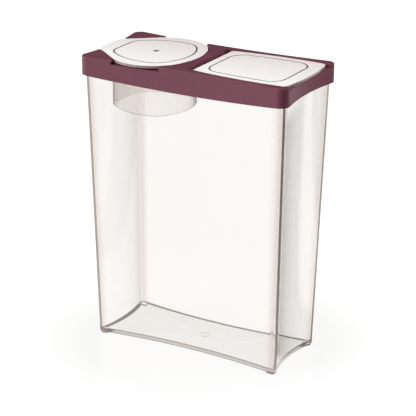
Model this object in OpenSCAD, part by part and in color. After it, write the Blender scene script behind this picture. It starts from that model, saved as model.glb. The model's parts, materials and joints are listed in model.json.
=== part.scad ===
// Cereal keeper: a clear container with hollow-curved walls under a moulded
// push-on cover. The cover carries a flip lid over a pouring mouth and a
// measuring cup whose flange closes the second opening.
// Lengths are millimetres. The origin is on the table under the middle of
// the base; +X runs along the container towards the pouring end, +Z is up.

/* [Container] */
// Length of the base between the sharp corners of its plan
base_l = 199.5; // [185:0.5:205]
// Width of the base between the sharp corners of its plan
base_w = 85; // [80:0.5:95]
// Length of the mouth between the sharp corners of its plan
mouth_l = 212.5; // [208:0.5:220]
// Width of the mouth between the sharp corners of its plan
mouth_w = 99.4; // [98:0.2:110]
// How far the long walls curve inwards at the base
base_side_bow = 8.7; // [4:0.1:11]
// How far the end walls curve inwards at the base
base_end_bow = 7.4; // [4:0.1:10]
// How far the long walls curve inwards at the mouth
mouth_side_bow = 7.6; // [5:0.1:8]
// How far the end walls curve inwards at the mouth
mouth_end_bow = 6.9; // [5:0.1:7.5]
// Radius of the upright corners
corner_r = 4; // [3.5:0.5:8]
// Height of the container's rim above the table
body_h = 277.5; // [180:0.5:320]
// Thickness of the walls
wall_t = 2; // [1.5:0.1:2.4]
// Thickness of the floor
floor_t = 2.4; // [1.6:0.1:4]
// How far the floor rises at its middle, so that the base stands on its corners
floor_crown = 1; // [0.4:0.1:2]
// Radius where the inside of the walls meets the floor
floor_r = 3; // [1:0.5:4]
// Height of the pads under the four corners
foot_h = 1.2; // [0.6:0.1:3]
// Length of each corner pad along the container
foot_l = 8; // [5:0.5:14]
// How far the rim's outer bead stands out
lip_out = 1; // [0.6:0.1:1.4]

/* [Cover] */
// Thickness of the skirt
skirt_t = 1.8; // [1.4:0.1:2.2]
// Gap between the container's bead and the skirt
skirt_gap = 1.75; // [1.3:0.05:2]
// Height of the skirt at the corners
skirt_h = 18.1; // [14:0.1:26]
// How much deeper the skirt hangs at the middle of the long sides
skirt_dip = 4.7; // [1:0.1:8]
// How much flatter than the container the cover's long sides are
cover_bow_ease = 0.7; // [0:0.1:1.5]
// Radius of the cover's upright corners
cover_corner_r = 8; // [6:0.5:12]
// Radius of the cover's top outer edge
cover_edge_r = 1.2; // [0.4:0.1:2]
// Thickness of the deck under the two lids
deck_t = 3; // [2.6:0.1:3.6]
// Depth of the two lid pockets below the cover's top
pocket_d = 2.9; // [2.8:0.1:5]
// Thickness of the wall that hangs inside the container's mouth
plug_t = 1.6; // [1.2:0.1:2]
// Gap between that wall and the container
plug_gap = 0.9; // [0.8:0.1:1.2]
// Depth of that wall below the deck
plug_h = 10; // [5:0.5:14]
// Thickness of the collars under the two openings
collar_t = 1.4; // [1:0.1:2]
// Depth of the collars below the deck
collar_h = 4; // [2:0.5:8]
// Thickness of the skin over the hollowed underside
skin_t = 1.8; // [1.2:0.1:2.4]
// Thickness of the seal on the container's rim
seal_t = 1.6; // [1:0.1:3]

/* [Measuring cup] */
// Where the cup's end side lies along the container
cup_from = -93; // [-93.4:0.1:-84]
// Where the cup's side towards the middle bar lies on the middle line
cup_to = -18.2; // [-26:0.1:-18]
// Widest half-width of the cup
cup_half = 39.5; // [30:0.1:39.7]
// Place of that widest part along the container
cup_side_x = -50; // [-56:0.5:-46]
// Radius of the cup's long sides
cup_side_r = 55.5; // [50:0.5:70]
// Radius of its side towards the middle bar
cup_bar_r = 52; // [48:0.5:80]
// Radius of the cup's corners
cup_corner_r = 16; // [8:0.5:18]
// Depth of the cup below its flange
cup_h = 49; // [20:0.5:90]
// Thickness of the cup's wall
cup_wall_t = 1.8; // [1.2:0.1:2.5]
// Thickness of the cup's flange
flange_t = 2.4; // [2:0.1:2.6]
// Gap round the cup in the cover's opening
cup_gap = 0.6; // [0.4:0.1:1]
// Radius of the flange's front and back lobes
lobe_r = 40.4; // [36:0.1:41]
// Distance from the cover's middle line to the lobes' centres
lobe_y = 11.4; // [8:0.2:12]
// Place of the lobes' centres along the container
lobe_x = -52; // [-54:0.5:-51]
// Radius of the corners of the flange's grip at the container's end
grip_r = 15; // [8:0.5:16]
// Distance from the middle line to those corners' centres
grip_y = 11; // [6:0.5:14]
// How far the grip reaches past the cover's end wall
grip_reach = 4; // [2:0.1:4.4]
// Radius of the flange's side towards the middle of the cover
bar_side_r = 66; // [60:1:80]
// Place of that side on the middle line
bar_side_x = -9.4; // [-14:0.1:-8.6]

/* [Flip lid] */
// Thickness of the lid's plate
lid_t = 2.1; // [1.8:0.1:2.4]
// Gap between the cover's middle bar and the lid
hinge_slot = 6; // [4.5:0.1:7]
// Widest half-width of the lid's pocket
pocket_y = 45; // [43:0.1:45.4]
// Place of that widest part along the container
pocket_x = 72; // [60:1:80]
// Radius of the pocket's long sides
pocket_r = 394; // [380:1:600]
// Gap between the pocket's long sides and the lid
lid_gap = 1.3; // [0.5:0.1:2]
// How far the lid's free edge reaches past the cover's end wall
lid_reach = 2.5; // [1:0.1:4]
// Radius of the lid's free edge
lid_edge_r = 225; // [150:5:400]
// Radius of the lid's outer corners
lid_corner_r = 7; // [3:0.5:10]
// Start of the lid's plug beyond the middle bar
mouth_from = 14; // [12:0.5:20]
// Length of the lid's plug along the container
mouth_long = 78.3; // [50:0.1:79]
// Widest half-width of the lid's plug
mouth_half = 34.9; // [24:0.1:35.4]
// Radius of the plug's corners
mouth_corner_r = 15; // [8:0.5:20]
// Depth of the plug below the plate
lid_plug_h = 6; // [3:0.5:8]
// Thickness of the plug's wall
lid_plug_t = 1.6; // [1:0.1:2.4]
// Gap round the plug in the pouring mouth
lid_plug_gap = 0.9; // [0.7:0.1:1.1]
// Radius of the hinge pins
pin_r = 0.75; // [0.65:0.05:0.8]
// Radial clearance of the pins in the cover
pin_clearance = 0.05; // [0.02:0.01:0.1]
// How far the pins stand out of the lid's ears
pin_l = 3; // [2:0.1:4]

/* [Moulded line] */
// Width of the fine line moulded round the top of both lids
line_w = 1.6; // [0.8:0.1:2.4]
// Depth of that line
line_d = 0.6; // [0.2:0.05:1]

/* [Hidden] */

$fn = 96;
// Small overlap that joins solids, and how far cutters run past them
eps = 0.01;
over = 1;
// Steps of an outline's quarter: along a side, round a corner
side_steps = 10;
corner_steps = 12;
// Steps of a rounded edge
edge_steps = 3;
// Space between parts that rest on each other
seat_gap = 0.1;
// Least radius of an upright inside corner
inner_r = 1;

// Cover levels
ceiling_z = body_h + seal_t;
pocket_z = ceiling_z + deck_t;
top_z = pocket_z + pocket_d;
skirt_z = top_z - skirt_h;
// Cover plan, grown from the container's bead
cover_grow = lip_out + skirt_gap + skirt_t;
cover_l = mouth_l + 2 * cover_grow;
cover_w = mouth_w + 2 * cover_grow;
cover_side_bow = mouth_side_bow - cover_bow_ease;
end_x = cover_l / 2 - mouth_end_bow;
// Both lids rest just above the pocket floors
seat_z = pocket_z + seat_gap;
// Finger notches under the flange's lobes and grip
notch_x = -49.8;
notch_half_l = 25;
notch_half_w = 24;
notch_step = 1.7;
notch_in = 6;
// Hinge, in the middle of the slot beside the middle bar
ear_w = 4;
ear_r = lid_t / 2;
ear_gap = 0.4;
hinge_x = hinge_slot / 2;
hinge_z = seat_z + ear_r;
hinge_y = pocket_edge_y(hinge_x);
ear_y = hinge_y - ear_gap;
lid_end_x = end_x + lid_reach;
// Rounded bottom edge and rim bead of the container
base_edge_r = 1;
lip_h = 4;
lip_edge = 0.6;
// Plain ring moulded into the underside of the floor
ring_r = 5;
ring_t = 0.6;
ring_h = 0.3;
// Dimple left by the moulding gate in the middle of the cup's top
gate_x = (cup_from + cup_to) / 2;
gate_r = 3;
gate_d = 0.6;
// Ribs across the hollow of the middle bar
rib_t = 1.2;
rib_step = 14;

burgundy = [0.44, 0.25, 0.31];
clear_body = [0.93, 0.92, 0.91, 0.35];
clear_lid = [0.95, 0.94, 0.93, 0.6];
seal_grey = [0.80, 0.80, 0.78];

function heading(v) = atan2(v[1], v[0]);

// Points on an arc, without the last one
function arc(c, r, from, to, steps) =
    [for (i = [0:steps - 1]) let (a = from + (to - from) * i / steps) c + r * [cos(a), sin(a)]];

// Where two circles cross, on the left of the line from a to b
function crossing(a, ra, b, rb) =
    let (
        d = norm(b - a),
        u = (b - a) / d,
        k = (ra * ra - rb * rb + d * d) / (2 * d)
    )
    a + k * u + sqrt(ra * ra - k * k) * [-u[1], u[0]];

function arc_r(chord, bow) = (chord * chord / 4 + bow * bow) / (2 * bow);

// Quarter of a plan with hollow sides, from mid-front to mid-end. The corner
// arc is tangent to both sides, and inset moves every arc inwards alike, until
// the corner's radius has shrunk to inner_r.
function hollow_quarter(l, w, side_bow, end_bow, r, inset) =
    let (
        side_r = arc_r(l, side_bow),
        end_r = arc_r(w, end_bow),
        side_c = [0, side_bow - w / 2 - side_r],
        end_c = [l / 2 - end_bow + end_r, 0],
        inset_r = max(r - inset, inner_r),
        reach = inset + inset_r,
        corner_c = crossing(side_c, side_r + reach, end_c, end_r + reach),
        side_a = heading(corner_c - side_c),
        end_a = heading(corner_c - end_c) + 360
    )
    concat(
        arc(side_c, side_r + inset, 90, side_a, side_steps),
        arc(corner_c, inset_r, side_a - 180, end_a - 180, corner_steps),
        arc(end_c, end_r + inset, end_a, 180, side_steps),
        [end_c - [end_r + inset, 0]]
    );

function flipped(pts) = [for (i = [len(pts) - 2:-1:1]) [pts[i][0], -pts[i][1]]];

function turned(pts) = [for (p = pts) -p];

// Whole plan with hollow sides, counter-clockwise from mid-front
function hollow_plan(l, w, side_bow, end_bow, r, inset = 0) =
    let (
        quarter = hollow_quarter(l, w, side_bow, end_bow, r, inset),
        half = concat(quarter, flipped(quarter))
    )
    concat(half, turned(half));

function at_z(pts, z) = [for (p = pts) [p[0], p[1], z]];

function blend(a, b, t) = [for (i = [0:len(a) - 1]) a[i] + (b[i] - a[i]) * t];

// The container's plan at a height, moved inwards by inset
function body_plan(z, inset) =
    blend(
        hollow_plan(base_l, base_w, base_side_bow, base_end_bow, corner_r, inset),
        hollow_plan(mouth_l, mouth_w, mouth_side_bow, mouth_end_bow, corner_r, inset),
        z / body_h
    );

function cover_plan(inset) =
    hollow_plan(cover_l, cover_w, cover_side_bow, mouth_end_bow, cover_corner_r, inset);

function mouth_plan(inset) = body_plan(body_h, inset);

// Half-width of the lid's pocket at a place along the container
function pocket_edge_y(x) = pocket_y - pocket_r + sqrt(pow(pocket_r, 2) - pow(x - pocket_x, 2));

// Solid through a stack of rings that have the same number of points. Its flat
// ends rise by crown towards their middle.
module loft(rings, crown = 0) {
    n = len(rings[0]);
    last = len(rings) - 1;
    mid = n * len(rings);
    ends = [for (k = [0, last]) [0, 0, rings[k][0][2] + (k == 0 ? crown : 0)]];
    sides = [
        for (k = [0:last - 1], i = [0:n - 1])
            let (j = (i + 1) % n, a = k * n, b = a + n)
            each [[a + i, b + i, b + j], [a + i, b + j, a + j]]
    ];
    caps = [
        for (i = [0:n - 1])
            let (j = (i + 1) % n)
            each [[i, j, mid], [last * n + j, last * n + i, mid + 1]]
    ];
    polyhedron(points = concat([for (r = rings) each r], ends), faces = concat(sides, caps));
}

module container() {
    floor_z = foot_h + floor_t;
    edge_rings = [
        for (i = [0:edge_steps])
            let (a = 90 * i / edge_steps, z = foot_h + base_edge_r * (1 - cos(a)))
            at_z(body_plan(z, base_edge_r * (1 - sin(a))), z)
    ];
    lip_rings = [
        at_z(body_plan(body_h - lip_h - lip_out, 0), body_h - lip_h - lip_out),
        at_z(body_plan(body_h - lip_h, -lip_out), body_h - lip_h),
        at_z(body_plan(body_h - lip_edge, -lip_out), body_h - lip_edge),
        at_z(body_plan(body_h, lip_edge - lip_out), body_h)
    ];
    hollow_rings = [
        for (i = [0:edge_steps])
            let (a = 90 * i / edge_steps, z = floor_z + floor_r * (1 - cos(a)))
            at_z(body_plan(z, wall_t + floor_r * (1 - sin(a))), z)
    ];
    mouth_rings = [for (z = [body_h, body_h + over]) at_z(mouth_plan(wall_t), z)];
    color(clear_body) difference() {
        union() {
            loft(concat(edge_rings, lip_rings), floor_crown);
            foot_pads();
        }
        loft(concat(hollow_rings, mouth_rings), floor_crown);
        translate([0, 0, foot_h + floor_crown - ring_h]) moulded_ring();
    }
}

// Pads that lift the base at its four corners
module foot_pads() {
    plan = body_plan(foot_h, base_edge_r);
    reach = max([for (p = plan) p[0]]);
    linear_extrude(foot_h + base_edge_r) intersection() {
        polygon(plan);
        for (s = [-1, 1])
            translate([s * (reach - foot_l / 2), 0]) square([foot_l, base_w], center = true);
        difference() {
            square([base_l, base_w], center = true);
            square([base_l, base_w - 2 * base_side_bow], center = true);
        }
    }
}

// Shallow plain ring round the moulding gate, under the floor
module moulded_ring() {
    difference() {
        cylinder(r = ring_r, h = 2 * ring_h);
        translate([0, 0, -eps]) cylinder(r = ring_r - ring_t, h = 2 * ring_h + 2 * eps);
    }
}

module cover() {
    color(burgundy) difference() {
        union() {
            cover_shell();
            plug_wall();
            collars();
        }
        lid_pocket();
        cup_pocket();
        openings();
        hinge_bores();
    }
}

// Skirt and top, hollowed from below
module cover_shell() {
    lowest_z = skirt_z - skirt_dip;
    edge_rings = [
        for (i = [0:edge_steps])
            let (a = 90 * i / edge_steps)
            at_z(cover_plan(cover_edge_r * (1 - cos(a))), top_z - cover_edge_r * (1 - sin(a)))
    ];
    inside = cover_plan(skirt_t);
    difference() {
        loft(concat([at_z(cover_plan(0), lowest_z)], edge_rings));
        loft([at_z(inside, lowest_z - over), at_z(inside, ceiling_z)]);
        below_skirt_edge();
        difference() {
            translate([0, 0, ceiling_z - eps]) linear_extrude(top_z - skin_t - ceiling_z) hollow_area();
            bar_ribs();
        }
    }
}

// Space under the skirt's lower edge, which sags in an arc along the long sides
module below_skirt_edge() {
    sag_r = arc_r(2 * end_x, skirt_dip);
    lowest_z = skirt_z - skirt_dip;
    rotate([90, 0, 0]) linear_extrude(cover_w + 2 * over, center = true) difference() {
        translate([-cover_l, lowest_z - over]) square([2 * cover_l, skirt_dip + over]);
        translate([0, lowest_z + sag_r]) circle(r = sag_r, $fn = 1440);
    }
}

// Wall that hangs inside the container's mouth and centres the cover
module plug_wall() {
    inset = wall_t + plug_gap;
    translate([0, 0, ceiling_z - plug_h]) linear_extrude(plug_h + deck_t / 2) difference() {
        polygon(mouth_plan(inset));
        polygon(mouth_plan(inset + plug_t));
    }
}

// The measuring cup's opening and the pouring mouth, cut through all that hangs
// below the deck
module openings() {
    translate([0, 0, ceiling_z - plug_h - over]) linear_extrude(plug_h + deck_t + pocket_d + 2 * over) {
        cup_plan(cup_gap);
        pour_plan(lid_plug_gap);
    }
}

// Short walls round the two openings, under the deck
module collars() {
    translate([0, 0, ceiling_z - collar_h]) linear_extrude(collar_h + eps) intersection() {
        union() {
            cup_plan(cup_gap + collar_t);
            pour_plan(lid_plug_gap + collar_t);
        }
        polygon(mouth_plan(wall_t + plug_gap + plug_t / 2));
    }
}

// The raised parts of the top that are hollow underneath
module hollow_area() {
    offset(delta = -skin_t) difference() {
        polygon(mouth_plan(wall_t + plug_gap + plug_t - skin_t));
        flange_plan(lid_gap);
        notch_plan();
        lid_pocket_plan();
    }
}

// Thin ribs across the hollow of the middle bar
module bar_ribs() {
    for (y = [-2 * rib_step:rib_step:2 * rib_step])
        translate([lobe_x, y - rib_t / 2, ceiling_z - over]) cube([-lobe_x, rib_t, top_z - ceiling_z]);
}

module lid_pocket() {
    translate([0, 0, pocket_z]) linear_extrude(pocket_d + over) lid_pocket_plan();
}

// The lid's pocket runs out through the end wall
module lid_pocket_plan() {
    intersection() {
        translate([0, -cover_w / 2]) square([cover_l, cover_w]);
        translate([pocket_x, pocket_y - pocket_r]) circle(r = pocket_r, $fn = 720);
        translate([pocket_x, pocket_r - pocket_y]) circle(r = pocket_r, $fn = 720);
    }
}

// The flange's pocket, open at the finger notches, which are a step deeper
// where they meet the walls
module cup_pocket() {
    translate([0, 0, pocket_z]) linear_extrude(pocket_d + over) {
        flange_plan(lid_gap);
        notch_plan();
    }
    translate([0, 0, pocket_z - notch_step]) linear_extrude(pocket_d + notch_step + over) difference() {
        notch_plan();
        polygon(cover_plan(notch_in));
    }
}

// The notches reach in from the long sides and from the end
module notch_plan() {
    translate([notch_x - notch_half_l, -cover_w / 2]) square([2 * notch_half_l, cover_w]);
    translate([-cover_l / 2, -notch_half_w]) square([cover_l / 4, 2 * notch_half_w]);
}

// Blind bores for the lid's pins, one in each side of the rim
module hinge_bores() {
    for (s = [-1, 1])
        translate([hinge_x, s * (hinge_y - over), hinge_z]) rotate([-90 * s, 0, 0])
            cylinder(r = pin_r + pin_clearance, h = over + pin_l);
}

// The cup's plan: bowed sides, a straight end and round corners, grown by gap
module cup_plan(gap = 0) {
    $fn = 72;
    r = cup_corner_r;
    side_y = cup_side_r - cup_half;
    offset(r = r + gap) intersection() {
        translate([cup_side_x, side_y]) circle(r = cup_side_r - r);
        translate([cup_side_x, -side_y]) circle(r = cup_side_r - r);
        translate([cup_to - cup_bar_r, 0]) circle(r = cup_bar_r - r);
        translate([cup_from + r, -cup_half]) square([cup_to - cup_from, 2 * cup_half]);
    }
}

// The flange's plan: two lobes, a grip at the end and a bowed inner side
module flange_plan(gap = 0) {
    grip_x = grip_r - end_x - grip_reach;
    bar_side_c = bar_side_x - bar_side_r;
    offset(r = gap) hull() {
        for (s = [-1, 1]) {
            translate([lobe_x, s * lobe_y]) circle(r = lobe_r);
            translate([grip_x, s * grip_y]) circle(r = grip_r);
        }
        intersection() {
            translate([bar_side_c, 0]) circle(r = bar_side_r, $fn = 240);
            translate([lobe_x, -lobe_y]) square([bar_side_r, 2 * lobe_y]);
        }
    }
}

// The pouring mouth's plan, in line with the lid's long sides, grown by gap
module pour_plan(gap = 0) {
    r = mouth_corner_r;
    inner_y = mouth_half - r;
    offset(r = r + gap) intersection() {
        translate([pocket_x, inner_y - pocket_r]) circle(r = pocket_r, $fn = 720);
        translate([pocket_x, pocket_r - inner_y]) circle(r = pocket_r, $fn = 720);
        translate([mouth_from + r, -mouth_half]) square([mouth_long - 2 * r, 2 * mouth_half]);
    }
}

module measuring_cup() {
    color(clear_lid) difference() {
        union() {
            translate([0, 0, seat_z]) linear_extrude(flange_t) flange_plan();
            translate([0, 0, seat_z - cup_h]) linear_extrude(cup_h + eps) cup_plan();
        }
        translate([0, 0, seat_z - cup_h - over]) linear_extrude(cup_h + over) cup_plan(-cup_wall_t);
        moulded_line(seat_z + flange_t) cup_plan(-cup_wall_t / 2);
        translate([gate_x, 0, seat_z + flange_t - gate_d]) cylinder(r1 = 0, r2 = gate_r, h = gate_d + eps);
    }
}

// Fine line moulded into a lid's top along the outline that is given
module moulded_line(z) {
    translate([0, 0, z - line_d]) linear_extrude(line_d + over) difference() {
        offset(delta = line_w / 2) children();
        offset(delta = -line_w / 2) children();
    }
}

module flip_lid() {
    color(clear_lid) difference() {
        union() {
            translate([0, 0, seat_z]) linear_extrude(lid_t) lid_plan();
            translate([0, 0, seat_z - lid_plug_h]) linear_extrude(lid_plug_h + eps) pour_plan();
            hinge_ears();
        }
        translate([0, 0, seat_z - lid_plug_h - over])
            linear_extrude(lid_plug_h + over) pour_plan(-lid_plug_t);
        moulded_line(seat_z + lid_t) pour_plan();
    }
}

// The lid's plan: its pocket's shape, closed by a bowed free edge
module lid_plan() {
    r = lid_corner_r;
    inner_y = pocket_y - lid_gap - r;
    intersection() {
        offset(r = r) intersection() {
            translate([pocket_x, inner_y - pocket_r]) circle(r = pocket_r, $fn = 720);
            translate([pocket_x, pocket_r - inner_y]) circle(r = pocket_r, $fn = 720);
            translate([lid_end_x - r - lid_edge_r, 0]) circle(r = lid_edge_r, $fn = 360);
        }
        translate([hinge_slot, -cover_w / 2]) square([cover_l, cover_w]);
    }
}

// Ears at the lid's hinged edge, each with a pin that turns in the cover
module hinge_ears() {
    for (s = [-1, 1])
        translate([hinge_x, s * ear_y, hinge_z]) rotate([90 * s, 0, 0]) {
            cylinder(r = ear_r, h = ear_w);
            translate([0, -ear_r, 0]) cube([hinge_slot - hinge_x + over, 2 * ear_r, ear_w]);
            translate([0, 0, -pin_l]) cylinder(r = pin_r, h = pin_l + ear_w / 2);
        }
}

// Flat ring between the container's rim and the cover
module cover_seal() {
    color(seal_grey) translate([0, 0, body_h]) linear_extrude(seal_t) difference() {
        polygon(mouth_plan(-lip_out + lip_edge));
        polygon(mouth_plan(wall_t));
    }
}

container();
cover();
cover_seal();
flip_lid();
measuring_cup();
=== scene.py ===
import json
import math

import bpy
from mathutils import Matrix, Vector

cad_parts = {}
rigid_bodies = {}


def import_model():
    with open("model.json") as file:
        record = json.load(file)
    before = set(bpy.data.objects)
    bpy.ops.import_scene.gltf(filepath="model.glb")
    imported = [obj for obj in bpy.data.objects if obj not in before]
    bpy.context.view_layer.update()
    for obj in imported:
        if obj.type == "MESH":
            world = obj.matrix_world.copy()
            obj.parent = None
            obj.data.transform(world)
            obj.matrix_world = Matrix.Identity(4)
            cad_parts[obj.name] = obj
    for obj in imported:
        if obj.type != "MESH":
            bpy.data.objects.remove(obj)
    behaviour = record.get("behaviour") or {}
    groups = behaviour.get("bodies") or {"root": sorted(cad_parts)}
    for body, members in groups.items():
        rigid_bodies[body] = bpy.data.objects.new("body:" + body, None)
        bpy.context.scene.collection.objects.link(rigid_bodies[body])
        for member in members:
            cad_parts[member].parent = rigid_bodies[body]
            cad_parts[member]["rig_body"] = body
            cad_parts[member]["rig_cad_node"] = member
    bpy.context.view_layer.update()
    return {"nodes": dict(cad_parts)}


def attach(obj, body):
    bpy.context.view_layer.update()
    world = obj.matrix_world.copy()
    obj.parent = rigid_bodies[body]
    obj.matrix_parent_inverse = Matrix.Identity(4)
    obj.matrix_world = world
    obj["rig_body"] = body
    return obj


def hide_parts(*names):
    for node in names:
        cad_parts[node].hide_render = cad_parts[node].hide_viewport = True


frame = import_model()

MM = 0.001
# Levels of the object, bottom to top.
BASE_EDGE_TOP = 2.2 * MM      # where the rounded edge of the base meets the wall
RIM = 277.5 * MM
FLANGE_SEAT = 282.2 * MM      # what the cup's flange and the lid's plate lie on
LID_TOP = 284.3 * MM
FLANGE_TOP = 284.6 * MM
# Places along the container.
CUP_END = -93.0 * MM
CUP_BAR_SIDE = -18.0 * MM
HINGE_SLOT_END = 6.0 * MM     # where the lid's plate starts, beside its ears
# Front and back of the two lids.
LID_FRONT = -35.0 * MM
LID_BACK = 45.0 * MM
# Half-length times half-width of the shell at its corners, at the base and at the mouth.
BASE_CORNER_AREA = 97.5 * 41.3 * MM * MM
MOUTH_CORNER_AREA = 105.0 * 48.6 * MM * MM

# How faces are told apart: how far they lie from a level, and how flat or upright they are.
SEAT_MARGIN = 0.4 * MM
SURFACE_MARGIN = 0.05 * MM
LINE_BOTTOM = 0.7 * MM        # deeper than the moulded line
LINE_WALL_DEPTH = 0.5 * MM
EAR_MARGIN = 0.1 * MM
FLAT = 0.97
UPRIGHT = 0.5
MERGE_DISTANCE = 0.002 * MM   # two corners of the moulding this near are one
# Edges flatter than this, in degrees, are shaded as one curve.
SHELL_SMOOTHING = 40
COVER_SMOOTHING = 35

# Patterns, in spots per metre. The real grain of a mould is about 0.05 mm: it is drawn coarser
# here, so that it shows.
SPARK_GRAIN = 1400.0          # 0.7 mm, on the cover
FROST_GRAIN = 1800.0          # 0.55 mm, on the lids
LIGHT_FROST_GRAIN = 900.0     # 1.1 mm, on the cup's walls
FLOW_MARKS = 18.0             # 55 mm, in the container's walls
SMALL_FLOW_MARKS = 60.0       # 17 mm, in edges and ears
COLOUR_CLOUDS = 30.0          # 33 mm, in the cover
DUST_CLOUDS = 200.0           # 5 mm, on the seal
FLOW_STRETCH = (1.0, 1.0, 0.2)    # the plastic flowed up the walls, so its marks are long

# Where the thick corner, painted greyer as shade, starts and is full, as shares of the way out to
# it.
CORNER_START = 0.86
CORNER_FULL = 0.98
# How far a corner has turned away where its painted dark outline starts and is full.
OUTLINE_START = 0.58
OUTLINE_FULL = 0.78
# Below and above these levels the light that is let out of a wall is bright and dim.
LEAK_BRIGHT_BELOW = 2.0 * MM
LEAK_DIM_ABOVE = 3.0 * MM

# Refraction of the plastics and of the seal.
COPOLYESTER_IOR = 1.54
POLYPROPYLENE_IOR = 1.49
FROSTED_IOR = 1.5
SILICONE_IOR = 1.41
# Light that a wall has reflected this often is trapped in it, and is let out.
TRAPPED = 2

# How brightly the table glows: dimmer near the object as a painted shadow, under its clear base and
# away from it.
FLOOR_NEAR = 0.815
FLOOR_UNDER_BASE = 1.05
FLOOR_FAR = 1.02
GLOW_NEAR_RADIUS = 0.12
GLOW_FAR_RADIUS = 0.26
TABLE_SIZE = 8.0
# The painted dark place in the table's reflections, to the right: its heading, and how far off it
# starts and is full.
DARK_HEADING = 61
DARK_START = 0.18
DARK_FULL = 0.22
# The painted black flag in the table's reflections: its corner on the table, its slant, its
# half-width and its length.
FLAG_CORNER_X = 0.1
FLAG_CORNER_Y = -0.03
FLAG_SLANT = 0.18
FLAG_FULL = 0.28
FLAG_EDGE = 0.42
FLAG_START = (-0.02, 0.01)
FLAG_END = (0.78, 0.7)
# The bright side of the room.
WINDOW_HEADING = -45
ROOM_DARK = -0.2
ROOM_BRIGHT = 0.7

# The camera: compass angles in degrees, what it looks at and how far off it is.
CAMERA_AZIMUTH = 29.262
CAMERA_ELEVATION = 20.593
CAMERA_ROLL = 0.485
CAMERA_AIM = (0.001926, 0.0, 0.136934)
CAMERA_AWAY = 1.7072
PICTURE_WIDTH = 416           # pixels
FOCAL_PIXELS = 1779.957
SENSOR_WIDTH = 36.0           # millimetres
CAMERA_CLIP = (0.05, 20.0)
# What both lamps shine at, and how large each is.
LAMP_AIM = (0, 0, 0.18)
LAMP_SIZE = (0.9, 0.8)


# ---------------------------------------------------------------- colours and nodes

def srgb(code):
    """An sRGB hex colour as the linear colour that a shader takes."""
    channels = [int(code[i:i + 2], 16) / 255 for i in (1, 3, 5)]
    linear = [c / 12.92 if c <= 0.04045 else ((c + 0.055) / 1.055) ** 2.4 for c in channels]
    return (*linear, 1.0)


def add_node(tree, kind, links=None, values=None, **settings):
    """Adds one node. links maps an input to the socket that feeds it, and values to its number."""
    made = tree.nodes.new(kind)
    for name, value in settings.items():
        setattr(made, name, value)
    for name, value in (values or {}).items():
        made.inputs[name].default_value = value
    for name, socket in (links or {}).items():
        tree.links.new(socket, made.inputs[name])
    return made


def new_material(name):
    """An empty node material and its output node."""
    material = bpy.data.materials.new(name)
    material.use_nodes = True
    tree = material.node_tree
    tree.nodes.clear()
    output = tree.nodes.new("ShaderNodeOutputMaterial")
    return material, tree, output


def colour_ramp(tree, factor, stops):
    """A ramp from place to colour: stops are (place, hex colour)."""
    ramp = add_node(tree, "ShaderNodeValToRGB", {"Fac": factor})
    elements = ramp.color_ramp.elements
    elements[0].position, elements[0].color = stops[0][0], srgb(stops[0][1])
    elements[1].position, elements[1].color = stops[-1][0], srgb(stops[-1][1])
    for place, code in stops[1:-1]:
        elements.new(place).color = srgb(code)
    return ramp


# ---------------------------------------------------------------- materials

def bounced(tree, ways, least=1):
    """1 for a ray that has bounced at least this often in these ways, and 0 for any other."""
    ray = add_node(tree, "ShaderNodeLightPath")
    count = ray.outputs[ways[0]]
    for way in ways[1:]:
        count = add_node(tree, "ShaderNodeMath", {0: count, 1: ray.outputs[way]},
                         operation="ADD").outputs["Value"]
    return add_node(tree, "ShaderNodeMath", {0: count}, {1: least - 0.5},
                    operation="GREATER_THAN").outputs["Value"]


def light_shadow(tree, glass, tint):
    """Glass with the light shadow of clear plastic: a shadow ray meets only a tinted gap."""
    gap = add_node(tree, "ShaderNodeBsdfTransparent", values={"Color": srgb(tint)})
    ray = add_node(tree, "ShaderNodeLightPath")
    return add_node(tree, "ShaderNodeMixShader",
                    {0: ray.outputs["Is Shadow Ray"], 1: glass.outputs["BSDF"],
                     2: gap.outputs["BSDF"]}).outputs["Shader"]


def satin_polypropylene():
    """Polypropylene from a spark-eroded mould: an even burgundy satin with no mirror edge."""
    material, tree, output = new_material("satin_polypropylene_burgundy")
    place = add_node(tree, "ShaderNodeTexCoord")
    cloud = add_node(tree, "ShaderNodeTexNoise", {"Vector": place.outputs["Object"]},
                     {"Scale": COLOUR_CLOUDS, "Detail": 3.0, "Roughness": 0.5})
    tint = colour_ramp(tree, cloud.outputs["Fac"], [(0.3, "#653847"), (0.7, "#6b3c4b")])
    grain = add_node(tree, "ShaderNodeTexNoise", {"Vector": place.outputs["Object"]},
                     {"Scale": SPARK_GRAIN, "Detail": 2.0})
    skin = add_node(tree, "ShaderNodeBump", {"Height": grain.outputs["Fac"]},
                    {"Strength": 0.12, "Distance": 0.05 * MM})
    sheen = add_node(tree, "ShaderNodeMapRange", {"Value": cloud.outputs["Fac"]},
                     {"From Min": 0.3, "From Max": 0.7, "To Min": 0.42, "To Max": 0.5})
    body = add_node(tree, "ShaderNodeBsdfPrincipled",
                    {"Base Color": tint.outputs["Color"], "Normal": skin.outputs["Normal"],
                     "Roughness": sheen.outputs["Result"]},
                    {"IOR": POLYPROPYLENE_IOR})
    tree.links.new(body.outputs["BSDF"], output.inputs["Surface"])
    return material


def from_corners(tree, place):
    """0 in the walls and 1 in the upright corners, all the way up the tapered shell."""
    parts = add_node(tree, "ShaderNodeSeparateXYZ", {"Vector": place})
    taper = add_node(tree, "ShaderNodeMapRange", {"Value": parts.outputs["Z"]},
                     {"From Min": 0.0, "From Max": RIM,
                      "To Min": BASE_CORNER_AREA, "To Max": MOUTH_CORNER_AREA})
    across = add_node(tree, "ShaderNodeMath", {0: parts.outputs["X"], 1: parts.outputs["Y"]},
                      operation="MULTIPLY")
    away = add_node(tree, "ShaderNodeMath", {0: across.outputs["Value"]}, operation="ABSOLUTE")
    share = add_node(tree, "ShaderNodeMath", {0: away.outputs["Value"], 1: taper.outputs["Result"]},
                     operation="DIVIDE")
    return add_node(tree, "ShaderNodeMapRange", {"Value": share.outputs["Value"]},
                    {"From Min": CORNER_START, "From Max": CORNER_FULL}).outputs["Result"]


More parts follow.
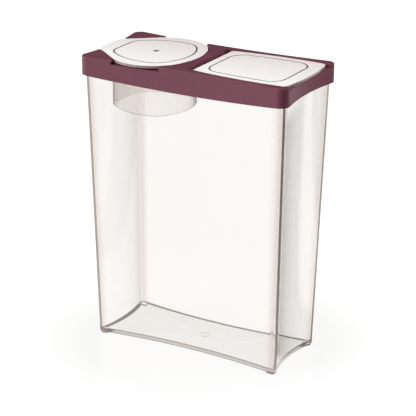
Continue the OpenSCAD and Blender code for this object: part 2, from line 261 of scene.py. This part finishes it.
def clear_copolyester():
    """Clear copolyester from a polished mould: water clear walls, corners painted warmer and greyer
    as shade.
    """
    material, tree, output = new_material("clear_moulded_plastic")
    place = add_node(tree, "ShaderNodeTexCoord")
    stretch = add_node(tree, "ShaderNodeMapping", {"Vector": place.outputs["Object"]})
    stretch.inputs["Scale"].default_value = FLOW_STRETCH
    flow = add_node(tree, "ShaderNodeTexNoise", {"Vector": stretch.outputs["Vector"]},
                    {"Scale": FLOW_MARKS, "Detail": 1.0})
    skin = add_node(tree, "ShaderNodeBump", {"Height": flow.outputs["Fac"]},
                    {"Strength": 0.15, "Distance": 0.5 * MM})
    corner = from_corners(tree, place.outputs["Object"])
    # Painted shade: the upright corners are tinted warmer and greyer.
    tint = colour_ramp(tree, corner, [(0.0, "#f6f5f4"), (1.0, "#ddd4cd")])
    # Painted shade: a rounded corner's outline is darkened, as its thick plastic bends light away.
    facing = add_node(tree, "ShaderNodeLayerWeight", values={"Blend": 0.5})
    rounding = add_node(tree, "ShaderNodeMapRange", {"Value": facing.outputs["Facing"]},
                        {"From Min": OUTLINE_START, "From Max": OUTLINE_FULL})
    painted_outline_shade = add_node(tree, "ShaderNodeMath", {0: rounding.outputs["Result"], 1: corner},
                       operation="MULTIPLY")
    body = add_node(tree, "ShaderNodeMix",
                    {"Factor": painted_outline_shade.outputs["Value"], "A": tint.outputs["Color"]},
                    {"B": srgb("#241f1c")}, data_type="RGBA")
    glass = add_node(tree, "ShaderNodeBsdfPrincipled",
                     {"Base Color": body.outputs["Result"], "Normal": skin.outputs["Normal"]},
                     {"IOR": COPOLYESTER_IOR, "Roughness": 0.02, "Transmission Weight": 1.0})
    # Shadows and light bounced off the other pieces pass straight through.
    gap = add_node(tree, "ShaderNodeBsdfTransparent", values={"Color": srgb("#f6f3f1")})
    ray = add_node(tree, "ShaderNodeLightPath")
    lamp = add_node(tree, "ShaderNodeMath",
                    {0: ray.outputs["Is Shadow Ray"], 1: ray.outputs["Is Diffuse Ray"]},
                    operation="MAXIMUM")
    # Light trapped inside a wall leaves it after two reflections, brighter near the table.
    parts = add_node(tree, "ShaderNodeSeparateXYZ", {"Vector": place.outputs["Object"]})
    level = add_node(tree, "ShaderNodeMapRange", {"Value": parts.outputs["Z"]},
                     {"From Min": LEAK_BRIGHT_BELOW, "From Max": LEAK_DIM_ABOVE})
    dim = colour_ramp(tree, level.outputs["Result"], [(0.0, "#f6f3f1"), (1.0, "#d6d0cb")])
    leak = add_node(tree, "ShaderNodeBsdfTransparent", {"Color": dim.outputs["Color"]})
    inner = add_node(tree, "ShaderNodeMixShader",
                     {0: bounced(tree, ["Glossy Depth"], TRAPPED), 1: glass.outputs["BSDF"],
                      2: leak.outputs["BSDF"]})
    mix = add_node(tree, "ShaderNodeMixShader",
                   {0: lamp.outputs["Value"], 1: inner.outputs["Shader"], 2: gap.outputs["BSDF"]})
    tree.links.new(mix.outputs["Shader"], output.inputs["Surface"])
    return material


def clear_tinted(name, tint, roughness):
    """Clear copolyester at a small rounded edge or tab, which looks as dark as its tint."""
    material, tree, output = new_material(name)
    place = add_node(tree, "ShaderNodeTexCoord")
    flow = add_node(tree, "ShaderNodeTexNoise", {"Vector": place.outputs["Object"]},
                    {"Scale": SMALL_FLOW_MARKS, "Detail": 1.0})
    skin = add_node(tree, "ShaderNodeBump", {"Height": flow.outputs["Fac"]},
                    {"Strength": 0.1, "Distance": 0.2 * MM})
    glass = add_node(tree, "ShaderNodeBsdfPrincipled", {"Normal": skin.outputs["Normal"]},
                     {"Base Color": srgb(tint), "IOR": COPOLYESTER_IOR, "Roughness": roughness,
                      "Transmission Weight": 1.0})
    tree.links.new(light_shadow(tree, glass, "#e6e1dd"), output.inputs["Surface"])
    return material


def frosted_plastic(name, back, front):
    """A plastic plate frosted on one face: milky white, with painted shade that darkens it towards
    the back.
    """
    material, tree, output = new_material(name)
    place = add_node(tree, "ShaderNodeTexCoord")
    parts = add_node(tree, "ShaderNodeSeparateXYZ", {"Vector": place.outputs["Object"]})
    # Painted shade: the plate darkens from its front to its back.
    shade_towards_back = add_node(tree, "ShaderNodeMapRange", {"Value": parts.outputs["Y"]},
                     {"From Min": LID_FRONT, "From Max": LID_BACK})
    tint = colour_ramp(tree, shade_towards_back.outputs["Result"], [(0.0, front), (1.0, back)])
    grain = add_node(tree, "ShaderNodeTexNoise", {"Vector": place.outputs["Object"]},
                     {"Scale": FROST_GRAIN, "Detail": 2.0})
    skin = add_node(tree, "ShaderNodeBump", {"Height": grain.outputs["Fac"]},
                    {"Strength": 0.1, "Distance": 0.04 * MM})
    body = add_node(tree, "ShaderNodeBsdfPrincipled",
                    {"Base Color": tint.outputs["Color"], "Normal": skin.outputs["Normal"]},
                    {"IOR": FROSTED_IOR, "Roughness": 0.4, "Specular IOR Level": 0.25})
    tree.links.new(body.outputs["BSDF"], output.inputs["Surface"])
    return material


def clear_edge(name, dark, light):
    """A side of a lid, painted grey and dark as shade: in clear plastic the light leaves through
    the faces.
    """
    material, tree, output = new_material(name)
    place = add_node(tree, "ShaderNodeTexCoord")
    cloud = add_node(tree, "ShaderNodeTexNoise", {"Vector": place.outputs["Object"]},
                     {"Scale": SMALL_FLOW_MARKS, "Detail": 2.0})
    tint = colour_ramp(tree, cloud.outputs["Fac"], [(0.3, dark), (0.7, light)])
    body = add_node(tree, "ShaderNodeBsdfPrincipled", {"Base Color": tint.outputs["Color"]},
                    {"IOR": COPOLYESTER_IOR, "Roughness": 0.15})
    tree.links.new(body.outputs["BSDF"], output.inputs["Surface"])
    return material


def light_frosted_cup():
    """The measuring cup's walls: clear plastic, lightly frosted, with painted shade towards the end
    wall and a painted highlight past the middle.
    """
    material, tree, output = new_material("light_frosted_plastic")
    place = add_node(tree, "ShaderNodeTexCoord")
    parts = add_node(tree, "ShaderNodeSeparateXYZ", {"Vector": place.outputs["Object"]})
    # Painted shade darkens the tint towards the end wall, and a lighter band past the middle is a
    # painted highlight.
    painted_light_along = add_node(tree, "ShaderNodeMapRange", {"Value": parts.outputs["X"]},
                     {"From Min": CUP_END, "From Max": CUP_BAR_SIDE})
    tint = colour_ramp(tree, painted_light_along.outputs["Result"],
                       [(0.0, "#f6f3ef"), (0.42, "#f8f5f2"), (0.58, "#fefcfb"), (1.0, "#f9f7f5")])
    grain = add_node(tree, "ShaderNodeTexNoise", {"Vector": place.outputs["Object"]},
                     {"Scale": LIGHT_FROST_GRAIN, "Detail": 2.0})
    skin = add_node(tree, "ShaderNodeBump", {"Height": grain.outputs["Fac"]},
                    {"Strength": 0.05, "Distance": 0.05 * MM})
    glass = add_node(tree, "ShaderNodeBsdfPrincipled",
                     {"Base Color": tint.outputs["Color"], "Normal": skin.outputs["Normal"]},
                     {"IOR": FROSTED_IOR, "Roughness": 0.12, "Transmission Weight": 1.0})
    tree.links.new(light_shadow(tree, glass, "#efeae7"), output.inputs["Surface"])
    return material


def silicone_rubber():
    """The soft gasket: translucent white silicone, dull, with moulding dust clinging to it."""
    material, tree, output = new_material("silicone_rubber")
    place = add_node(tree, "ShaderNodeTexCoord")
    cloud = add_node(tree, "ShaderNodeTexNoise", {"Vector": place.outputs["Object"]},
                     {"Scale": DUST_CLOUDS, "Detail": 3.0})
    tint = colour_ramp(tree, cloud.outputs["Fac"], [(0.3, "#d9d4d0"), (0.7, "#e6e2de")])
    body = add_node(tree, "ShaderNodeBsdfPrincipled", {"Base Color": tint.outputs["Color"]},
                    {"IOR": SILICONE_IOR, "Roughness": 0.55})
    tree.links.new(body.outputs["BSDF"], output.inputs["Surface"])
    return material


# ---------------------------------------------------------------- pieces

def deselect_all():
    """Leaves nothing selected, because every operator acts on all that is."""
    if bpy.context.object and bpy.context.object.mode != "OBJECT":
        bpy.ops.object.mode_set(mode="OBJECT")
    bpy.ops.object.select_all(action="DESELECT")


def moulded_piece(node, name, body, smooth_angle):
    """A copy of the frame's moulding, with its loose triangles merged and its curves smooth."""
    deselect_all()
    moulding = frame["nodes"][node]
    moulding.select_set(True)
    bpy.context.view_layer.objects.active = moulding
    bpy.ops.object.duplicate()
    piece = bpy.context.object
    # The copy is a piece of its own, so the frame's marks of a CAD node come off it.
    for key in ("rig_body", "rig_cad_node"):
        if key in piece:
            del piece[key]
    piece.name = name
    piece.data.name = name
    bpy.ops.object.mode_set(mode="EDIT")
    bpy.ops.mesh.select_all(action="SELECT")
    bpy.ops.mesh.remove_doubles(threshold=MERGE_DISTANCE)
    bpy.ops.object.mode_set(mode="OBJECT")
    bpy.ops.mesh.customdata_custom_splitnormals_clear()
    bpy.ops.object.shade_smooth_by_angle(angle=math.radians(smooth_angle))
    piece.data.materials.clear()
    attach(piece, body)
    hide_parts(node)
    return piece


def weight_normals(piece):
    """Large flat faces keep their own light, so a fillet's shade doesn't bleed over a wall."""
    deselect_all()
    piece.select_set(True)
    bpy.context.view_layer.objects.active = piece
    weighted = piece.modifiers.new("weighted", "WEIGHTED_NORMAL")
    weighted.keep_sharp = True
    weighted.weight = 50
    bpy.ops.object.modifier_apply(modifier="weighted")


def paint_faces(piece, material, chosen):
    """Gives the chosen faces a material slot of their own."""
    deselect_all()
    piece.select_set(True)
    bpy.context.view_layer.objects.active = piece
    piece.data.materials.append(material)
    piece.active_material_index = len(piece.data.materials) - 1
    bpy.ops.object.mode_set(mode="EDIT")
    bpy.ops.mesh.select_mode(type="FACE")
    bpy.ops.mesh.select_all(action="DESELECT")
    bpy.ops.object.mode_set(mode="OBJECT")
    for face in piece.data.polygons:
        face.select = chosen(face)
    bpy.ops.object.mode_set(mode="EDIT")
    bpy.ops.object.material_slot_assign()
    bpy.ops.object.mode_set(mode="OBJECT")


def on_base_edge(face):
    """The rounded edge of the base, without the flat underside."""
    return face.center.z < BASE_EDGE_TOP and abs(face.normal.z) < FLAT


def on_lid_side(face):
    """The upright side of a lid's plate or of the cup's flange."""
    return face.center.z > FLANGE_SEAT and abs(face.normal.z) < UPRIGHT


def in_moulded_line(top):
    """A test for the bottom of the fine line that is sunk into a lid's top."""
    return lambda face: (top - LINE_BOTTOM < face.center.z < top - SURFACE_MARGIN
                         and abs(face.normal.z) > UPRIGHT)


def on_line_wall(top):
    """A test for the low upright walls of that line, and for the upper rim of the lid's side."""
    return lambda face: face.center.z > top - LINE_WALL_DEPTH and abs(face.normal.z) < UPRIGHT


def on_hinge_ear(face):
    """The flip lid's two ears, which reach into the hinge slot beside its plate."""
    return face.center.x < HINGE_SLOT_END - EAR_MARGIN


def on_cup_wall(face):
    """The measuring cup below its flange."""
    return face.center.z < FLANGE_SEAT - SEAT_MARGIN


def frosted_lid(node, name, finish, top, side, groove):
    """A frosted lid with a clear side and a fine line moulded in its top, both painted grey as
    shade, on a body of its own.
    """
    lid = moulded_piece(node, name, node, COVER_SMOOTHING)
    weight_normals(lid)
    lid.data.materials.append(frosted_plastic(finish, "#e6dedb", "#fbf9f8"))
    # Painted shade: the side and the moulded line are painted grey and dark.
    paint_faces(lid, side, on_lid_side)
    paint_faces(lid, groove, in_moulded_line(top))
    paint_faces(lid, groove, on_line_wall(top))
    return lid


shell = moulded_piece("container", "clear_shell", "container", SHELL_SMOOTHING)
weight_normals(shell)
shell.data.materials.append(clear_copolyester())
# Painted shade: the rounded edge of the base is tinted dark, so it draws a dark line at the foot.
paint_faces(shell, clear_tinted("clear_plastic_base_edge_painted_shade", "#635b55", 0.02), on_base_edge)

cover = moulded_piece("cover", "burgundy_cover", "cover", COVER_SMOOTHING)
weight_normals(cover)
cover.data.materials.append(satin_polypropylene())

gasket = moulded_piece("cover_seal", "cover_gasket", "cover", COVER_SMOOTHING)
gasket.data.materials.append(silicone_rubber())

# Painted shade for the lids' clear sides and the sunk lines in their tops.
lid_side = clear_edge("clear_plastic_edge_painted_shade", "#85716f", "#9c8b88")
painted_line_shade = clear_edge("clear_plastic_line_painted_shade", "#6f6a67", "#7d7774")

spout_lid = frosted_lid("flip_lid", "flip_spout_lid", "frosted_lid_plastic", LID_TOP,
                        lid_side, painted_line_shade)
paint_faces(spout_lid, clear_tinted("clear_plastic_hinge_ears", "#e8e0dc", 0.1), on_hinge_ear)

cup = frosted_lid("measuring_cup", "measuring_cup_frosted", "frosted_cup_plastic", FLANGE_TOP,
                  lid_side, painted_line_shade)
paint_faces(cup, light_frosted_cup(), on_cup_wall)


# ---------------------------------------------------------------- floor, light, camera

def towards(tree, vector, heading):
    """How far a place or a direction lies towards a compass heading on the table."""
    angle = math.radians(heading)
    return add_node(tree, "ShaderNodeVectorMath", {0: vector},
                    {1: (math.sin(angle), -math.cos(angle), 0.0)},
                    operation="DOT_PRODUCT").outputs["Value"]


def painted_black_flag(tree, place):
    """A wedge painted black on the table behind the pouring end, seen only in reflections: 1 on it
    and 0 off it.
    """
    parts = add_node(tree, "ShaderNodeSeparateXYZ", {"Vector": place})
    right = add_node(tree, "ShaderNodeMath", {0: parts.outputs["X"]}, {1: FLAG_CORNER_X},
                     operation="SUBTRACT")
    back = add_node(tree, "ShaderNodeMath", {0: parts.outputs["Y"]}, {1: FLAG_CORNER_Y},
                    operation="SUBTRACT")
    slant = add_node(tree, "ShaderNodeMath",
                     {0: right.outputs["Value"], 1: back.outputs["Value"]}, operation="DIVIDE")
    middle = add_node(tree, "ShaderNodeMath", {0: slant.outputs["Value"]}, {1: FLAG_SLANT},
                      operation="SUBTRACT")
    off = add_node(tree, "ShaderNodeMath", {0: middle.outputs["Value"]}, operation="ABSOLUTE")
    wedge = add_node(tree, "ShaderNodeMapRange", {"Value": off.outputs["Value"]},
                     {"From Min": FLAG_EDGE, "From Max": FLAG_FULL})
    start = add_node(tree, "ShaderNodeMapRange", {"Value": parts.outputs["Y"]},
                     {"From Min": FLAG_START[0], "From Max": FLAG_START[1]})
    end = add_node(tree, "ShaderNodeMapRange", {"Value": parts.outputs["Y"]},
                   {"From Min": FLAG_END[0], "From Max": FLAG_END[1]})
    length = add_node(tree, "ShaderNodeMath",
                      {0: start.outputs["Result"], 1: end.outputs["Result"]}, operation="MULTIPLY")
    cloth = add_node(tree, "ShaderNodeMath",
                     {0: wedge.outputs["Result"], 1: length.outputs["Value"]}, operation="MULTIPLY")
    return cloth.outputs["Value"]


def studio_floor():
    """A pale glossy table. It shows white to the eye and keeps the object's shadow."""
    deselect_all()
    bpy.ops.mesh.primitive_plane_add(size=TABLE_SIZE, location=(0, 0, 0))
    floor = bpy.context.object
    floor.name = "studio_floor"
    material, tree, output = new_material("white_acrylic_table")
    place = add_node(tree, "ShaderNodeTexCoord")
    # What the eye sees: white acrylic that glows, brighter away from the object and dimmer near it
    # as a painted shadow.
    away = add_node(tree, "ShaderNodeVectorMath", {0: place.outputs["Object"]}, operation="LENGTH")
    near = add_node(tree, "ShaderNodeMix", {"Factor": bounced(tree, ["Transmission Depth"])},
                    {"A": FLOOR_NEAR, "B": FLOOR_UNDER_BASE})
    glow_with_painted_shadow = add_node(tree, "ShaderNodeMapRange",
                   {"Value": away.outputs["Value"], "To Min": near.outputs["Result"]},
                   {"From Min": GLOW_NEAR_RADIUS, "From Max": GLOW_FAR_RADIUS, "To Max": FLOOR_FAR})
    acrylic = add_node(tree, "ShaderNodeBsdfPrincipled",
                       values={"Base Color": srgb("#646464"), "Roughness": 0.08, "IOR": 1.3})
    glow = add_node(tree, "ShaderNodeEmission", {"Strength": glow_with_painted_shadow.outputs["Result"]},
                    {"Color": srgb("#ffffff")})
    seen = add_node(tree, "ShaderNodeAddShader",
                    {0: acrylic.outputs["BSDF"], 1: glow.outputs["Emission"]})
    # Painted reflections: what gloss shows of it is bright, but for a painted dark place at the
    # right and a painted black flag behind.
    painted_dark_place = add_node(tree, "ShaderNodeMapRange",
                          {"Value": towards(tree, place.outputs["Object"], DARK_HEADING)},
                          {"From Min": DARK_START, "From Max": DARK_FULL})
    painted_flag = painted_black_flag(tree, place.outputs["Object"])
    dark = add_node(tree, "ShaderNodeMath",
                    {0: painted_dark_place.outputs["Result"], 1: painted_flag}, operation="MAXIMUM")
    outside = colour_ramp(tree, dark.outputs["Value"], [(0.0, "#fdfbfa"), (1.0, "#1e1b1b")])
    inside = colour_ramp(tree, dark.outputs["Value"], [(0.0, "#bfbbb8"), (1.0, "#5a5653")])
    sheen = add_node(tree, "ShaderNodeMix", {"Factor": bounced(tree, ["Transmission Depth"])},
                     data_type="RGBA")
    tree.links.new(outside.outputs["Color"], sheen.inputs["A"])
    tree.links.new(inside.outputs["Color"], sheen.inputs["B"])
    # Light that was trapped in the container's floor leaves it towards the pale table below.
    shown = add_node(tree, "ShaderNodeMix",
                     {"Factor": bounced(tree, ["Glossy Depth"], TRAPPED),
                      "A": sheen.outputs["Result"]},
                     {"B": srgb("#d8d4d0")}, data_type="RGBA")
    painted_reflection = add_node(tree, "ShaderNodeEmission", {"Color": shown.outputs["Result"]},
                        {"Strength": 1.0})
    bounce = add_node(tree, "ShaderNodeEmission",
                      values={"Color": srgb("#8c8a88"), "Strength": 1.0})
    unlit = add_node(tree, "ShaderNodeMixShader",
                     {0: bounced(tree, ["Diffuse Depth"]), 1: painted_reflection.outputs["Emission"],
                      2: bounce.outputs["Emission"]})
    mix = add_node(tree, "ShaderNodeMixShader",
                   {0: bounced(tree, ["Diffuse Depth", "Glossy Depth"]),
                    1: seen.outputs["Shader"], 2: unlit.outputs["Shader"]})
    tree.links.new(mix.outputs["Shader"], output.inputs["Surface"])
    floor.data.materials.append(material)


def studio_world():
    """White to the eye and through clear plastic. Gloss shows a room, bright at the front left."""
    world = bpy.data.worlds.new("studio")
    bpy.context.scene.world = world
    world.use_nodes = True
    tree = world.node_tree
    tree.nodes.clear()
    output = tree.nodes.new("ShaderNodeOutputWorld")
    place = add_node(tree, "ShaderNodeTexCoord")
    side = add_node(tree, "ShaderNodeMapRange",
                    {"Value": towards(tree, place.outputs["Generated"], WINDOW_HEADING)},
                    {"From Min": ROOM_DARK, "From Max": ROOM_BRIGHT})
    room = colour_ramp(tree, side.outputs["Result"], [(0.0, "#2c2828"), (1.0, "#dcdad8")])
    inside = colour_ramp(tree, side.outputs["Result"], [(0.0, "#c0bbb7"), (1.0, "#e4e1de")])
    colour = add_node(tree, "ShaderNodeMix", {"Factor": bounced(tree, ["Transmission Depth"])},
                      data_type="RGBA")
    tree.links.new(room.outputs["Color"], colour.inputs["A"])
    tree.links.new(inside.outputs["Color"], colour.inputs["B"])
    soft = add_node(tree, "ShaderNodeBackground", {"Color": colour.outputs["Result"]},
                    {"Strength": 1.0})
    white = add_node(tree, "ShaderNodeBackground",
                     values={"Color": srgb("#ffffff"), "Strength": 1.0})
    mix = add_node(tree, "ShaderNodeMixShader",
                   {0: bounced(tree, ["Diffuse Depth", "Glossy Depth"]),
                    1: white.outputs["Background"], 2: soft.outputs["Background"]})
    tree.links.new(mix.outputs["Shader"], output.inputs["Surface"])


def softbox(name, place, power):
    """A flat soft lamp, turned to the object. No gloss shows its shape."""
    deselect_all()
    bpy.ops.object.light_add(type="AREA", location=place)
    lamp = bpy.context.object
    lamp.name = name
    lamp.data.shape = "RECTANGLE"
    lamp.data.size, lamp.data.size_y = LAMP_SIZE
    lamp.data.energy = power
    lamp.visible_glossy = lamp.visible_transmission = False
    away = Vector(place) - Vector(LAMP_AIM)
    lamp.rotation_euler = away.to_track_quat("Z", "Y").to_euler()


def studio_camera():
    """The camera stands to the right of the front and looks a little down."""
    azimuth, elevation = math.radians(CAMERA_AZIMUTH), math.radians(CAMERA_ELEVATION)
    roll = math.radians(CAMERA_ROLL)
    right = Vector((math.cos(azimuth), math.sin(azimuth), 0.0))
    back = Vector((math.sin(azimuth) * math.cos(elevation),
                   -math.cos(azimuth) * math.cos(elevation), math.sin(elevation)))
    up = back.cross(right)
    side = right * math.cos(roll) + up * math.sin(roll)
    top = up * math.cos(roll) - right * math.sin(roll)
    deselect_all()
    bpy.ops.object.camera_add(location=Vector(CAMERA_AIM) + back * CAMERA_AWAY)
    camera = bpy.context.object
    camera.name = "studio_camera"
    turn = Matrix((side, top, back)).transposed()
    camera.rotation_euler = turn.to_euler()
    camera.data.sensor_width = SENSOR_WIDTH
    camera.data.lens = FOCAL_PIXELS / PICTURE_WIDTH * SENSOR_WIDTH
    camera.data.clip_start, camera.data.clip_end = CAMERA_CLIP
    bpy.context.scene.camera = camera


studio_floor()
studio_world()
softbox("left_softbox", place=(-0.95, -1.25, 0.95), power=31.0)
softbox("right_softbox", place=(1.2, 0.85, 0.95), power=27.0)
studio_camera()
bpy.context.scene.view_settings.view_transform = "Standard"
